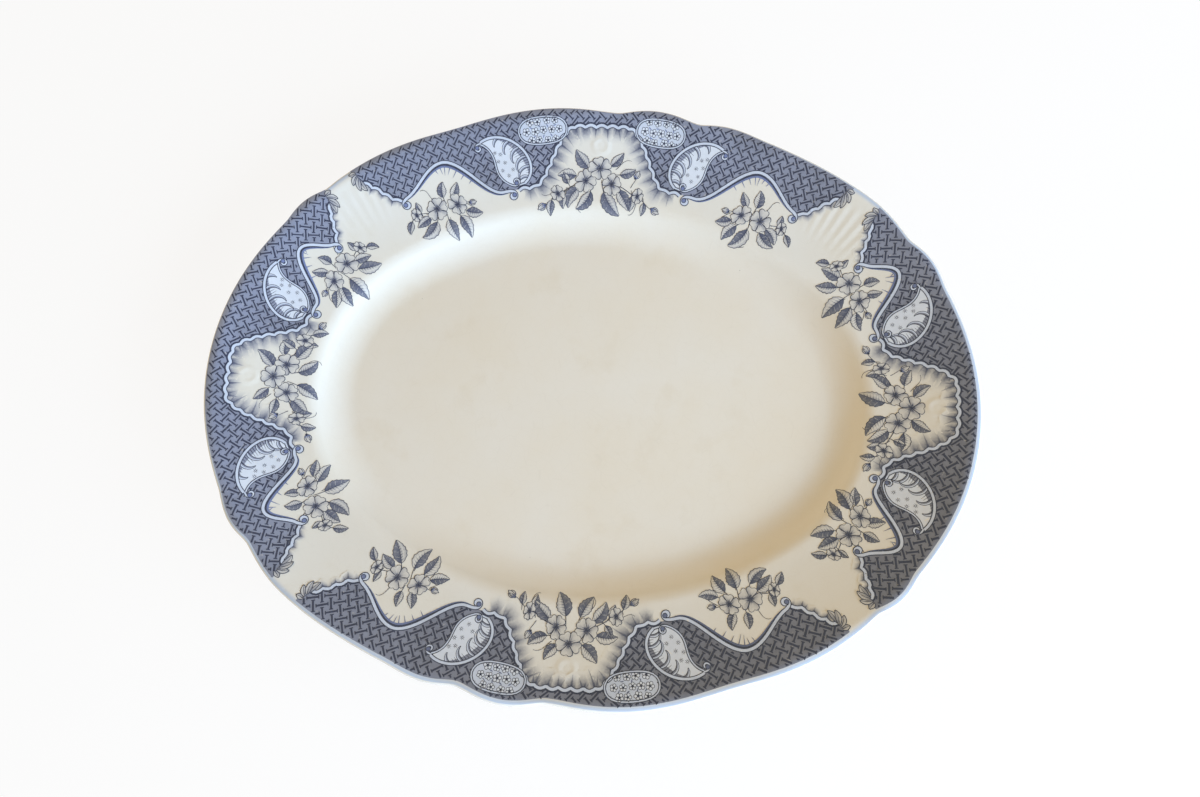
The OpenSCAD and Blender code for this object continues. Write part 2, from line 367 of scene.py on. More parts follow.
def body_rows(face):
    """Rows of the body from the middle of the well over the edge to the middle of the underside.

    Each row is an inset, a height, a share of the way from the centre, and whether it is on the face."""
    floor = [(face.floor_inset, face.floor_top, share, True) for share in (0, 0.15, 0.3, 0.5, 0.7, 0.85)]
    stops = (face.floor_inset, face.shoulder_end, face.rim_width, 30, 14, NOSE)
    insets = []
    for start, end, count in zip(stops, stops[1:], (10, 9, 18, 17, 15)):
        insets += [start - (start - end) * k / count for k in range(count)]
    face_rows = [(inset, face.section(inset)[0], 1, True) for inset in (*insets, NOSE)]
    nose = []
    for k in range(1, 12):
        turn = pi / 2 - pi * k / 12
        inset = NOSE * (1 - cos(turn))
        nose.append((inset, face.section(inset)[0] - face.edge / 2 * (1 - sin(turn)), 1, False))
    back = []
    for k in range(25):
        inset = NOSE + (face.floor_inset - NOSE) * k / 24
        height, slope = face.section(inset)
        depth = face.edge + (face.clay - face.edge) * min(inset / face.rim_width, 1)
        back.append((inset - depth * sin(slope), height - depth * cos(slope), 1, False))
    under = [(face.floor_inset, face.underside, share, False) for share in (0.85, 0.6, 0.3, 0)]
    return floor + face_rows + nose + back + under


def shape_body(face, sizes):
    """The pressed body with its scalloped, rounded edge and its relief"""
    rows = body_rows(face)
    directions = column_directions(face, sizes.columns)
    mesh, places = slip_sheet(sizes.columns, len(rows))
    bleed_and_lip_reflection = mesh.verts.layers.float["bleed_and_lip_reflection"]
    for v, column, row in places:
        inset, height, share, on_face = rows[row]
        # Blue bleed of the print over the rim, rising to 2 at the lip for the painted reflection of the cool
        # window there
        v[bleed_and_lip_reflection] = (1 - smooth(44, 66, inset)) * on_face + 1 - smooth(2, 4.5, inset)
        psi = directions[column % sizes.columns]
        if share < 1:
            point = face.plan(psi, inset) * share
        else:
            inward = face.dip(psi) * (1 - smooth(0, 14, inset))
            if inward:
                height += face.section(inset + inward)[0] - face.section(max(inset, 0))[0]
            inset += inward
            point = face.plan(psi, inset)
        if on_face:
            height += face.relief(psi, inset, point)
        v.co = Vector((point.x, point.y, height)) * MM
    close_shell(mesh)
    return mesh


def shape_foot(face):
    """The foot ring, with rounded shoulders and a wiped flat"""
    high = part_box("foot_ring")[1]
    outer = face.end_radius + face.end_centre - high.x / MM
    top, taper = high.z / MM, (FOOT_WIDTH - FOOT_FLAT) / 2
    half = [
        (-0.6, top), (0.35, top - 1.2), (taper - 0.7, 1.2), (taper - 0.3, 0.45), (taper + 0.25, 0.1),
        (taper + 0.8, 0.0)]
    section = [(outer + x, z) for x, z in half] + [(outer + FOOT_WIDTH - x, z) for x, z in half[::-1]]
    mesh, places = slip_sheet(FOOT_STEPS, len(section))
    for v, column, row in places:
        inset, height = section[row]
        point = face.plan(column % FOOT_STEPS / FOOT_STEPS * 2 * pi, inset)
        v.co = Vector((point.x, point.y, height)) * MM
    bmesh.ops.remove_doubles(mesh, verts=mesh.verts[:], dist=1e-7)
    bmesh.ops.bridge_loops(mesh, edges=[e for e in mesh.edges if e.is_boundary])
    close_shell(mesh)
    return mesh


def shift(points, distances):
    """A line of points moved to its left by one distance, or by one for each point"""
    if not isinstance(distances, (list, tuple)):
        distances = [distances] * len(points)
    moved = []
    for k, point in enumerate(points):
        way = points[min(k + 1, len(points) - 1)] - points[max(k - 1, 0)]
        left = Vector((-way.y, way.x)).normalized()
        moved.append(point + left * distances[k])
    return moved


def flanks(points, widths):
    """The lines to the left and to the right of a line of points"""
    return shift(points, widths), shift(points, [-w for w in widths])


def swelling(count, start, span, bend=1.0):
    """Shares of the full width along a line, small at its ends and 1 in its middle"""
    return [sin(pi * (start + span * (k / count) ** bend)) for k in range(count + 1)]


def curl(start, heading, length, first, last, steps=18):
    """A line that leaves start along heading and turns from first to last, in degrees per millimetre"""
    points, step = [start.copy()], length / steps
    for k in range(steps):
        turning = first + (last - first) * (k + 0.5) / steps
        heading += math.radians(turning * step) / 2
        points.append(points[-1] + step * toward(heading))
        heading += math.radians(turning * step) / 2
    return points


def measured(points):
    """Distances along a line"""
    reached = [0.0]
    for a, b in zip(points, points[1:]):
        reached.append(reached[-1] + (b - a).length)
    return reached


def heading_of(a, b):
    """Direction from one point to another"""
    return math.atan2(b.y - a.y, b.x - a.x)


def between(first, second, part):
    """A line part of the way from one line to another"""
    return [a.lerp(b, part) for a, b in zip(first, second)]


class Print:
    """A transfer drawn flat, in millimetres, with the layer of each shape as its height"""

    def __init__(self, face):
        self.face = face
        self.mesh = bmesh.new()
        self.fade = self.mesh.verts.layers.float.new("fade")

    def sheet(self, lines, layer, ink, fades=None):
        """Fills between lines of the same number of points"""
        rows, columns = len(lines) - 1, len(lines[0]) - 1
        made = bmesh.ops.create_grid(self.mesh, x_segments=columns, y_segments=rows, size=1)
        for v in made["verts"]:
            column, row = grid_place(v, columns, rows)
            v.co = (*lines[row][column], layer)
            v[self.fade] = fades[row][column] if fades else 1.0
            for f in v.link_faces:
                f.material_index = ink

    def stroke(self, points, width, layer, ink, taper=0.0, swell=0.0):
        """Draws a line, thinned by a share of its width towards its end, or towards both ends"""
        count = len(points) - 1
        halves = [
            width / 2 * (1 - taper * k / count) * (1 - swell * (1 - sin(pi * k / count)))
            for k in range(count + 1)]
        self.sheet(flanks(points, halves), layer, ink)

    def wisp(self, points, width, layer, strength):
        """Draws a tapering line of shade that fades towards its end"""
        count = len(points) - 1
        halves = [width / 2 * (1 - 0.8 * k / count) for k in range(count + 1)]
        fades = [strength * (1 - 0.75 * k / count) for k in range(count + 1)]
        self.sheet(flanks(points, halves), layer, SHADE, [fades, fades])

    def crescent(self, points, width, layer, ink):
        """Fills to the left of a line, widest in its middle"""
        widths = [width * w for w in swelling(len(points) - 1, 0.04, 0.92)]
        self.sheet([points, shift(points, widths)], layer, ink)

    def dot(self, place, radius, layer, ink, segments=8):
        """A round dot"""
        made = bmesh.ops.create_circle(
            self.mesh, cap_ends=True, segments=segments, radius=radius,
            matrix=Matrix.Translation((place.x, place.y, layer)))
        for v in made["verts"]:
            v[self.fade] = 1.0
            for f in v.link_faces:
                f.material_index = ink

    def ring(self, place, radius, width, layer, ink, segments=12):
        """A round line"""
        turns = [2 * pi * k / segments for k in range(segments + 1)]
        self.stroke([place + radius * toward(t) for t in turns], width, layer, ink)

    def petal(self, rib, widths, tones, layer, line):
        """A shaded, outlined petal, with tones for its left edge, its rib and its right edge"""
        left, right = flanks(rib, widths)
        self.sheet([left, rib, right], layer, SHADE, tones)
        self.stroke(left + right[::-1], line, layer + 0.4, INK)

    def finish(self):
        """Lays the flat print on the face of the rim as thin films"""
        for v in self.mesh.verts:
            v.co = self.face.lay(v.co.x, v.co.y, PRINT_LIFT + LAYER_HEIGHT * v.co.z)
        for f in self.mesh.faces:
            f.normal_update()
            if f.normal.z < 0:
                f.normal_flip()
            f.smooth = True
        bmesh.ops.solidify(self.mesh, geom=self.mesh.faces[:], thickness=FILM * MM)
        for e in self.mesh.edges:
            e.smooth = e.calc_face_angle(0) < 0.6
        return self.mesh


class Border:
    """One length of the printed border, by the share u of its half length either side of its middle"""

    def __init__(self, face, psi, looks):
        self.face, self.psi, self.radius = face, psi, face.radius(psi)
        arc_half = face.junction if at_end(psi) else pi / 2 - face.junction
        self.half_turn = arc_half - looks.gap / MM / 2 / self.radius
        self.lip = looks.lip / MM
        self.horn, waist = (END_HORN, END_WAIST) if at_end(psi) else (SIDE_HORN, SIDE_WAIST)
        # Reach of the ground in millimetres at the crown, the horn, the waist, the hip and the end
        self.places = (
            (0, 12), (0.1, 12), (self.horn - 0.07, 43), (self.horn + 0.07, 43), (waist, 18), (HIP, 29),
            (1, 10))

    def turn(self, u):
        return self.psi + self.half_turn * u

    def at(self, u, inset):
        return self.face.plan(self.turn(u), inset)

    def outer(self, u):
        """Where the ground starts: the transfer lies a little off centre, so the bare lip varies"""
        return self.lip * (0.38 + 1.24 * heavy(self.turn(u))) + self.face.dip(self.turn(u))

    def reach(self, u):
        """How far the ground reaches in from the edge"""
        v = min(abs(u), 1.0)
        k = max(k for k in range(len(self.places) - 1) if self.places[k][0] <= v)
        (a, low), (b, high) = self.places[k], self.places[k + 1]
        return low + (high - low) * (1 - cos(pi * (v - a) / (b - a))) / 2

    def inner_line(self, first, last, step=0.7):
        """Points of the ground's inner line, counter-clockwise, so that the bare side is on its left"""
        count = max(4, round((last - first) * self.half_turn * (self.radius - 20) / step))
        shares = [first + (last - first) * k / count for k in range(count + 1)]
        return [self.at(u, self.reach(u)) for u in shares]

    def holds(self, point, margin):
        """Whether a point lies on the ground, clear of its lines"""
        psi, inset = self.face.locate(point.x, point.y)
        u = ((psi - self.psi + pi) % (2 * pi) - pi) / self.half_turn
        if abs(u) > LAST_LINE or inset < self.outer(u) + 0.4:
            return False
        side = margin / (self.half_turn * self.radius)
        return all(inset < self.reach(v) - margin for v in (u - side, u, u + side))

    def frame_at(self, u, inset):
        """A point with its directions along the border and out to the edge"""
        psi = self.turn(u)
        return self.at(u, inset), Vector((-sin(psi), cos(psi))), toward(psi)


def draw_ground(sheet, border):
    """The tinted ground of a border length"""
    count = round(2 * border.half_turn * border.radius / 1.3)
    shares = [-1 + 2 * k / count for k in range(count + 1)]
    lines = []
    for row in range(25):
        part = (row / 24) ** 1.4
        lines.append([border.at(u, border.outer(u) * (1 - part) + border.reach(u) * part) for u in shares])
    sheet.sheet(lines, 0, GROUND)


def draw_weave(sheet, border, looks, panels, dice):
    """Serifed bars of the basket weave, kept off the panels"""
    pitch, half = looks.weave_pitch / MM, looks.weave_bar / MM / 2
    middle = border.radius - 18
    reach = round(border.half_turn * middle / pitch) + 8
    for i in range(-reach, reach):
        for j in range(-reach, reach):
            along, deep = pitch * (i - j) / math.sqrt(2), pitch * (i + j) / math.sqrt(2)
            if not 1 < deep < 46 or abs(along) > border.half_turn * middle:
                continue
            u = along / middle / border.half_turn
            centre, tangent, out = border.frame_at(u, deep)
            way = (tangent - out if (i + j) % 2 else -tangent - out).normalized()
            way.rotate(Matrix.Rotation(dice.uniform(-0.06, 0.06), 2))
            spots = [centre + way * (-half + half * k / 4) for k in range(9)]
            inside = [
                k for k, spot in enumerate(spots) if border.holds(spot, 0.9)
                and all((spot - place).length > clear for place, clear in panels)]
            if len(inside) < 2 or inside[-1] - inside[0] != len(inside) - 1:
                continue
            a, b = spots[inside[0]], spots[inside[-1]]
            bold = 0.84 + 0.24 * heavy(border.turn(u))
            sheet.stroke([a.lerp(b, k / 4) for k in range(5)], bold * dice.uniform(0.85, 1.1), 3, INK)
            across = Vector((-way.y, way.x)) * 0.95
            for end, full in ((a, inside[0] == 0), (b, inside[-1] == 8)):
                if full:
                    sheet.stroke([end - across, end, end + across], 0.55, 3.2, INK)


def draw_ribbon(sheet, points, width, layer):
    """A pale ribbon between two dark lines"""
    left, right = shift(points, width / 2), shift(points, -width / 2)
    sheet.sheet([left, right], layer, TINT)
    sheet.stroke(left, 0.42, layer + 0.5, INK)
    sheet.stroke(right, 0.48, layer + 0.5, INK)


def draw_shell_edge(sheet, points, width, dice, depth):
    """A ruffled ribbon with streaks of shade that fan from its folds into the bare bay"""
    reached = measured(points)
    folds = max(2, round(reached[-1] / 6.2))
    swell = [abs(sin(pi * folds * s / reached[-1])) for s in reached]
    line = shift(points, [-1.25 * (w - 0.55) for w in swell])
    draw_ribbon(sheet, line, width, 4)
    count = len(line) - 1
    ends = [smooth(0, 0.1, k / count) * smooth(0, 0.1, 1 - k / count) for k in range(count + 1)]
    lengths = []
    for w, end, s in zip(swell, ends, reached):
        crown = 1 - 0.4 * hump(s - reached[-1] / 2, 9)
        lengths.append(depth * crown * (0.62 + 0.38 * (1 - w)) * dice.uniform(0.8, 1.1) * end + 0.6)
    strength = [min(1.0, (0.42 + 0.5 * (1 - w)) * dice.uniform(0.85, 1.15)) for w in swell]
    parts = (0, 0.08, 0.18, 0.3, 0.42, 0.56, 0.7, 0.85, 1)
    rows = [shift(line, [width / 2 + part * n for n in lengths]) for part in parts]
    fades = [[n * (1 - part) ** 1.7 for n in strength] for part in parts]
    sheet.sheet(rows, 0.4, SHADE, fades)
    inner, beyond = shift(line, width / 2), shift(line, width / 2 + 1)
    for k in range(2, count - 1):
        fold = 1 - swell[k]
        if dice.random() > 0.4 + 0.6 * fold:
            continue
        far = lengths[k] * dice.uniform(0.4, 0.95) * (0.45 + 0.55 * fold)
        way = beyond[k] - inner[k]
        rib = curl(inner[k], math.atan2(way.y, way.x), far, 0, dice.uniform(-4, 4), 8)
        sheet.wisp(rib, 0.5 + 0.7 * fold, 1.6 + dice.random(), ends[k] * (0.55 + 0.45 * fold))
    # The ruffle's own shade on the ground side
    sheet.sheet([shift(line, -width / 2 - part) for part in (0, 0.35, 0.7)], 1.6, INK)


def draw_scroll(sheet, points, dice, width=1.9):
    """A smooth scroll with a dark crescent inside and curled ends"""
    start = curl(points[0], heading_of(points[1], points[0]), 13, -3, -62)
    finish = curl(points[-1], heading_of(points[-2], points[-1]), 13, 3, 62)
    draw_ribbon(sheet, start[:0:-1] + points + finish[1:], width, 5)
    left = shift(points, width / 2)
    sheet.crescent(left, 1.9, 4.3, MIDDLE)
    sheet.crescent(left, 0.9, 4.7, INK)
    for end in (start[-1], finish[-1]):
        sheet.dot(end, 1.25, 6, MIDDLE, 12)
        sheet.ring(end, 1.25, 0.4, 6.4, INK)
    # Short ribs that fan into the small bay
    middle, spread = len(points) // 2, len(points) // 5
    inner, beyond = shift(points, width / 2 + 1.7), shift(points, 1)
    for k in range(middle - spread, middle + spread, 5):
        way = beyond[k] - points[k]
        far = 5.5 * (1 - abs(k - middle) / spread * 0.6) * dice.uniform(0.7, 1.1)
        sheet.stroke([inner[k], inner[k] + way * far * 0.5, inner[k] + way * far], 0.55, 4, MIDDLE, 0.8)


def draw_rosette(sheet, place, size, layer):
    """A small ring with a round of dots"""
    sheet.ring(place, size * 0.5, 0.3, layer, INK, 10)
    for k in range(7):
        sheet.dot(place + size * toward(2 * pi * k / 7), 0.2, layer, INK, 4)


def draw_cartouche(sheet, start, heading, hand, length, width, dice):
    """A comma-shaped panel with rosettes, leafy strokes along its back and a curled tail"""
    count = 30
    spine = curl(start, heading, length, 0.3 * hand, 4.6 * hand, count)
    halves = [width / 2 * sin(pi * (0.02 + 0.97 * k / count) ** 0.62) + 0.3 for k in range(count + 1)]
    left, right = flanks(spine, halves)
    outer, inner = (right, left) if hand > 0 else (left, right)
    sheet.sheet([between(outer, inner, part / 10) for part in range(11)], 3, PALE)
    dark = swelling(count, 0.05, 0.9)
    shaded = [[a.lerp(b, part * d) for a, b, d in zip(outer, inner, dark)] for part in (0, 0.1, 0.2)]
    sheet.sheet(shaded, 3.5, GROUND)
    for k in range(1, count):
        far = dice.uniform(0.2, 0.42) * dark[k]
        tip = outer[k].lerp(inner[min(count, k + 2)], far)
        sheet.stroke([outer[k], outer[k].lerp(tip, 0.5), tip], 0.5, 3.9, INK, 0.8)
    for k in range(2, 23, 4):
        way = heading_of(outer[k], inner[min(count, k + 5)])
        far = 0.62 * (outer[k] - inner[k]).length
        leaf = curl(outer[k], way, far, 3 * hand, 17 * hand, 10)
        edge = shift(leaf, [-hand * 1.7 * w for w in swelling(10, 0.06, 0.9, 0.8)])
        middle = between(leaf, edge, 0.5)
        sheet.sheet([leaf, middle], 4.4, GROUND)
        sheet.sheet([middle, edge], 4.4, TINT)
        sheet.stroke(leaf, 0.5, 4.9, INK, 0.4)
        sheet.stroke(edge, 0.34, 4.9, INK, 0.2)
    for k, part in ((3, 0.1), (6, 0.5), (8, 0.1), (10, 0.68), (13, 0.35), (16, 0.72), (18, 0.3), (21, 0.6)):
        draw_rosette(sheet, spine[k].lerp(inner[k], part), 1.05, 4.4)
    tail = curl(spine[-1], heading_of(spine[-2], spine[-1]), 11, 10 * hand, 64 * hand)
    head = curl(inner[1], heading_of(inner[4], inner[0]), 12, 8 * hand, 58 * hand)
    foot = [outer[0].lerp(inner[0], k / 5) for k in range(6)]
    for line, broad, layer in (
            (outer, 1.7, 5), (inner, 1.1, 5), (foot, 1.2, 5), (tail, 1.2, 5.2), (head, 1.1, 5.6)):
        draw_ribbon(sheet, line, broad, layer)
    for end in (tail[-1], head[-1]):
        sheet.dot(end, 1.15, 6.4, MIDDLE, 10)
        sheet.ring(end, 1.15, 0.36, 6.7, INK)
    return [(spine[k], halves[k] - 0.3) for k in range(0, count + 1, 2)]


def draw_posy(sheet, place, radius, turn, layer):
    """A small flower of five round petals"""
    for k in range(5):
        spot = place + radius * 0.6 * toward(turn + 2 * pi * k / 5)
        sheet.dot(spot, radius * 0.38, layer, PALE, 10)
        sheet.ring(spot, radius * 0.38, 0.3, layer + 0.3, INK, 10)
    sheet.dot(place, radius * 0.2, layer + 0.6, INK, 8)


def draw_posy_panel(sheet, border, u, dice):
    """A pale panel of small massed flowers inside a scrolled line"""
    place, along, out = border.frame_at(u, 13)
    turns = [2 * pi * k / 28 for k in range(29)]
    edge = [place + along * 14 * cos(t) + out * 8.2 * sin(t) * (1 + 0.12 * cos(2 * t)) for t in turns]
    rows = [[place.lerp(p, part) for p in edge] for part in (1, 0.88, 0.75, 0.62, 0.5, 0.25, 0)]
    sheet.sheet(rows, 3, TINT)
    draw_ribbon(sheet, edge, 1.1, 5)
    columns = (-12, -7.2, -2.4, 2.4, 7.2)
    for x, y in [(x + 2.3 * (row % 2), y) for row, y in enumerate((-5, 0, 5)) for x in columns]:
        if (x / 12) ** 2 + (y / 7) ** 2 > 1:
            continue
        spot = place + along * (x + dice.uniform(-0.5, 0.5)) + out * (y + dice.uniform(-0.4, 0.4))
        draw_posy(sheet, spot, dice.uniform(2.0, 2.4), dice.uniform(0, 1.2), 3.4 + dice.random())
        way = Vector((2.0, 0))
        way.rotate(Matrix.Rotation(dice.uniform(0, 6), 2))
        centre = spot + along * 2.3 + out * 2.2
        if (centre - place).length < 9:
            sheet.stroke([centre - way / 2, centre, centre + way / 2], 0.7, 3.3, MIDDLE, 0, 0.6)
    return [(place + along * x, 6.2) for x in (-6, 0, 6)]


def draw_end_leaf(sheet, border, side):
    """Palmette of curled leaves that closes a border length"""
    u = side * LAST_LINE
    root, along, out = border.frame_at(u, border.outer(u) + 4.4)
    for k, (swing, length) in enumerate(((2, 4.2), (-80, 7.5), (-26, 6.2), (-54, 7.5))):
        heading = math.atan2(along.y * side, along.x * side) - side * math.radians(swing)
        turning = side if swing < 0 else -side
        rib = curl(root + out * (swing + 26) / 22, heading, length, 2 * turning, 9 * turning, 10)
        tone = [0.8 - 0.05 * j for j in range(11)]
        tones = [tone, [t * 0.55 for t in tone], [t * 0.3 for t in tone]]
        level = 6 + 0.8 * k
        sheet.petal(rib, [1.5 * w for w in swelling(10, 0.1, 0.86)], tones[::side], level, 0.38)
        sheet.stroke(rib, 0.45, level + 0.4, INK, 0.7)


def draw_border(face, psi, looks, seed):
    """One whole border length"""
    dice = random.Random(seed)
    border, sheet = Border(face, psi, looks), Print(face)
    draw_ground(sheet, border)
    panels = []
    for side in (-1, 1):
        place, _, out = border.frame_at(side * (border.horn - 0.01), 40.5)
        heading = math.atan2(out.y, out.x) + side * 0.12
        panels += draw_cartouche(sheet, place, heading, side, 35, 19, dice)
        if not at_end(psi):
            panels += draw_posy_panel(sheet, border, side * 0.235, dice)
        draw_end_leaf(sheet, border, side)
    draw_weave(sheet, border, looks, panels, dice)
    for first, last, depth in ((-border.horn, border.horn, 10), (HIP, LAST_LINE, 5), (-LAST_LINE, -HIP, 5)):
        draw_shell_edge(sheet, border.inner_line(first, last), looks.ribbon / MM, dice, depth)
    draw_scroll(sheet, border.inner_line(border.horn + 0.05, HIP - 0.02), dice)
    draw_scroll(sheet, border.inner_line(-HIP + 0.02, -border.horn - 0.05), dice)
    return sheet.finish()


def draw_flower(sheet, centre, radius, turn, layer, dice, tilt):
    """A five-petalled flower with notched petals, veined from its dark eye and foreshortened by its tilt"""
    steps = (
        (0.10, 0.05), (0.28, 0.19), (0.50, 0.36), (0.70, 0.47), (0.86, 0.47), (0.98, 0.34), (1.0, 0.17),
        (0.9, 0.0))
    lean_way = toward(turn)

    def place(heading, far, side):
        spot = Vector((far * cos(heading) - side * sin(heading), far * sin(heading) + side * cos(heading)))
        return centre + radius * (spot - lean_way * spot.dot(lean_way) * (1 - tilt))

    sides = (0.6, 0.4, 0.26, 0.2, 0.14, 0.1, 0.08, 0.08)
    for k in range(5):
        heading = turn + 2 * pi * k / 5 + dice.uniform(-0.07, 0.07)
        size = dice.uniform(0.92, 1.05)
        left, middle, right = ([place(heading, f * size, w * way) for f, w in steps] for way in (1, 0, -1))
        dark = dice.uniform(0.05, 0.22)
        tones = [[s + dark for s in sides], [s * 0.6 for s in sides], [s * 0.8 for s in sides]]
        sheet.sheet([left, middle, right], layer, SHADE, tones)
        sheet.stroke(left, 0.42, layer + 0.5, INK, 0, 0.45)
        sheet.stroke(right, 0.34, layer + 0.5, INK, 0, 0.45)
        for swing in (-0.3, -0.1, 0.12, 0.3):
            near, far = 0.14, dice.uniform(0.4, 0.72)
            rib = [
                place(heading + swing * (0.7 + 0.3 * t), near + (far - near) * t, 0)
                for t in (0, 0.4, 0.7, 1)]
            sheet.wisp(rib, 0.4, layer + 0.3, 1.0)
    sheet.dot(centre, radius * 0.13, layer + 0.8, INK, 8)
    for k in range(6):
        sheet.dot(place(turn + k * 1.05 + 0.4, 0.25, 0), 0.24, layer + 0.8, INK, 5)


def draw_leaf(sheet, base, heading, length, bend, layer, dice, hand):
    """A pointed, toothed leaf, dark on one side of its rib and with a light fold on the other"""
    count = 18
    rib = curl(base, heading, length, bend, bend * 2.2, count)
    broad = length * dice.uniform(0.25, 0.3)
    widths = []
    for k, w in enumerate(swelling(count, 0.02, 0.96, 0.78)):
        tooth = (k % 3) / 2 if 2 < k < count - 2 else 0.5
        widths.append(broad * w * (0.93 + 0.14 * tooth))
    left, right = flanks(rib, widths)
    dark, light = (left, right) if hand > 0 else (right, left)
    deep, pale = dice.uniform(0.9, 1.0), dice.uniform(0.3, 0.65)
    fade = [1 - 0.25 * k / count for k in range(count + 1)]
    for edge, tones in ((dark, (deep, 0.94 * deep, 0.78 * deep)), (light, (pale, 0.2 * pale, 0.8 * pale))):
        fades = [[f * tone for f in fade] for tone in tones]
        sheet.sheet([rib, between(rib, edge, 0.5), edge], layer, SHADE, fades)
        sheet.stroke(edge, 0.36, layer + 0.6, INK, 0, 0.4)
    sheet.stroke(rib, 0.42, layer + 0.6, INK, 0.6)
    for k in range(2, count - 3, 2):
        sheet.wisp([rib[k].lerp(light[k + 2], t) for t in (0, 0.35, 0.8)], 0.42, layer + 0.4, 1.0)
    for k in range(4, count - 4, 4):
        sheet.wisp([dark[k + 2].lerp(rib[k], t) for t in (0.12, 0.4, 0.8)], 0.3, layer + 0.4, 0.5)


def draw_bud(sheet, base, heading, size, layer):
    """A bud of three half-open petals in a dark cup"""
    tone = [0.75 - 0.07 * k for k in range(9)]
    tones = [tone, [t * 0.5 for t in tone], [t * 0.35 for t in tone]]
    for swing, length in ((-0.5, 0.9), (0.5, 0.9), (0, 1.1)):
        rib = curl(base, heading + swing, size * length, -8 * swing, -20 * swing, 8)
        sheet.petal(rib, [size * 0.24 * w for w in swelling(8, 0.06, 0.92)], tones, layer, 0.32)
        layer += 0.7
    for swing in (-0.8, 0, 0.8):
        cup = curl(base, heading + swing, size * 0.45, 0, 20 * swing, 4)
        sheet.stroke(cup, 0.9, layer + 0.3, MIDDLE, 0.8)
    sheet.dot(base, size * 0.16, layer + 0.6, INK)


class Spray:
    """Places flowers and leaves about a point of the rim, in millimetres: x along the rim, y outwards"""

    def __init__(self, face, psi, inset, looks, hand, seed):
        self.sheet, self.hand = Print(face), hand
        self.dice = random.Random(seed)
        self.place = face.plan(psi, inset)
        self.along = Vector((sin(psi), -cos(psi))) * hand
        self.out = toward(psi)
        self.flower_radius, self.leaf_length = looks.flower / MM, looks.leaf / MM

    def spot(self, x, y, loose=0.0):
        x += self.dice.uniform(-loose, loose)
        y += self.dice.uniform(-loose, loose)
        return self.place + self.along * x + self.out * y

    def way(self, degrees, loose=0.0):
        """Heading of a direction measured from x to y"""
        turn = math.radians(degrees + self.dice.uniform(-loose, loose))
        way = self.along * cos(turn) + self.out * sin(turn)
        return math.atan2(way.y, way.x)

    def stem(self, x, y, degrees, length, first, last, width):
        points = curl(self.spot(x, y), self.way(degrees), length, first * self.hand, last * self.hand, 20)
        self.sheet.stroke(points, width, 3, INK, 0.35)

    def leaf(self, x, y, degrees, length, bend, dark):
        length *= self.leaf_length * self.dice.uniform(0.9, 1.1)
        bend *= self.hand * self.dice.uniform(0.3, 1.6)
        base, heading = self.spot(x, y, 0.4), self.way(degrees, 8)
        stalk = curl(base, heading + pi, 0.45 * length, -bend, -2 * bend, 8)
        self.sheet.stroke(stalk, 0.4, 3, INK, 0.3)
        layer = 3.6 + self.dice.random()
        draw_leaf(self.sheet, base, heading, length, bend, layer, self.dice, dark * self.hand)

    def bud(self, x, y, degrees, size):
        draw_bud(self.sheet, self.spot(x, y), self.way(degrees, 8), size, 5)

    def flower(self, x, y, size, degrees, layer, tilt):
        centre, turn = self.spot(x, y, 0.5), self.way(degrees, 15)
        draw_flower(self.sheet, centre, self.flower_radius * size, turn, layer, self.dice, tilt)


# Stems, leaves, buds and flowers of a spray, each as the values that Spray takes.
# The large spray has three flowers over leaves, with a flower and a bud trailing at each side.
LARGE_SPRAY = (
    ((-12, -5, 202, 14, 3, -3, 0.5), (11, -6, -20, 14, -4, 3, 0.5), (-25, -13, 222, 8, 4, -10, 0.36),
     (24, -13, -42, 9, -4, 8, 0.36), (18, -7, 66, 6, -6, 4, 0.36), (-26, -11, 190, 8, 14, -30, 0.3),
     (-5, -10, 232, 15, -9, 24, 0.32), (9, 3, 34, 11, 8, -20, 0.3), (22, -15, 240, 9, 12, -30, 0.3)),
    ((-14, -1, 166, 0.85, 2, 1), (-12, -8, 216, 0.95, 2, -1), (-5, -10, 250, 1.05, -2, 1),
     (3, -10, 286, 1.1, 2, -1), (11, -8, 314, 0.95, -2, 1), (12, 0, 10, 0.8, 2, -1),
     (-7, 4, 142, 0.9, -2, 1), (6, 5, 40, 0.85, 2, -1), (-18, -6, 122, 0.55, -2, 1),
     (-20, -11, 248, 0.62, 2, -1), (-27, -15, 250, 0.62, 2, 1), (19, -12, 278, 0.62, -2, -1),
     (26, -15, 276, 0.55, -2, 1)),
    ((20.4, -1.6, 62, 4.4), (30.5, -18.5, -34, 4.6), (-31, -18, 222, 4.6)),
    ((-23.5, -11, 0.72, 200, 5.4, 0.78), (22, -11.5, 0.68, -20, 5.4, 0.72), (-8.6, -3.4, 1.0, 160, 5.6, 0.9),
     (7.4, -4.6, 0.95, 20, 7.2, 0.86), (-0.4, 3.6, 1.0, 90, 8.8, 0.95)))
# The small spray has two flowers over leaves, with a bud at one side and a small flower at the other.
SMALL_SPRAY = (
    ((8, -1, -8, 6, 3, -3, 0.42), (-9, 0, 172, 11, -4, 6, 0.42), (0, -6, 258, 14, 14, -34, 0.3),
     (-6, 7, 118, 9, -12, 30, 0.3), (12, -2, -58, 10, 8, -24, 0.32)),
    ((-10, -2, 196, 0.85, 2, 1), (-8, -6, 228, 0.95, -2, -1), (-1, -7, 264, 1.0, 2, 1),
     (6, -7, 300, 0.95, -2, -1), (10, -6, 318, 0.75, 2, 1), (0, 6, 86, 0.7, -2, 1), (5, 4, 44, 0.7, 2, -1),
     (-15, 2, 100, 0.5, -2, 1), (-21, -1, 220, 0.58, 2, -1)),
    ((13.4, -2.2, -6, 3.8),),
    ((-18, 1.2, 0.58, 170, 5.4, 0.75), (-5.4, 0.8, 0.98, 150, 5.6, 0.92), (6.4, -1.0, 0.9, 30, 7.0, 0.85)))


